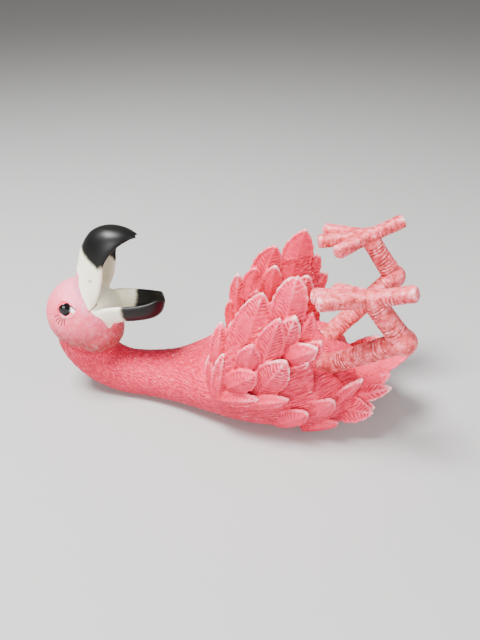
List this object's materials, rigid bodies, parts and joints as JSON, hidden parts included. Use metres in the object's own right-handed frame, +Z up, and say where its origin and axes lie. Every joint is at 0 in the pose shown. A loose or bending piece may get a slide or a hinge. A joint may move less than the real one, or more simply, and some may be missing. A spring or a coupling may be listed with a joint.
{
  "type": "bottle holder figurine",
  "caption": "Cast resin flamingo lying on its back that holds a wine bottle between its wings and feet, with the bottle's neck in its open bill.",
  "frame": {"origin": "on the ground below the middle of the casting's length and width", "axes": "+X from the head towards the tail, +Y to the bird's far side in the picture, +Z up"},
  "size_m": [0.332, 0.1446, 0.1697],
  "materials": {
    "painted_resin": "semi-matte pink paint, dry-brushed paler on the raised carving, with a cream and gloss black bill"
  },
  "bodies": {
    "root": {"flamingo": "painted_resin"}
  },
  "joints": []
}
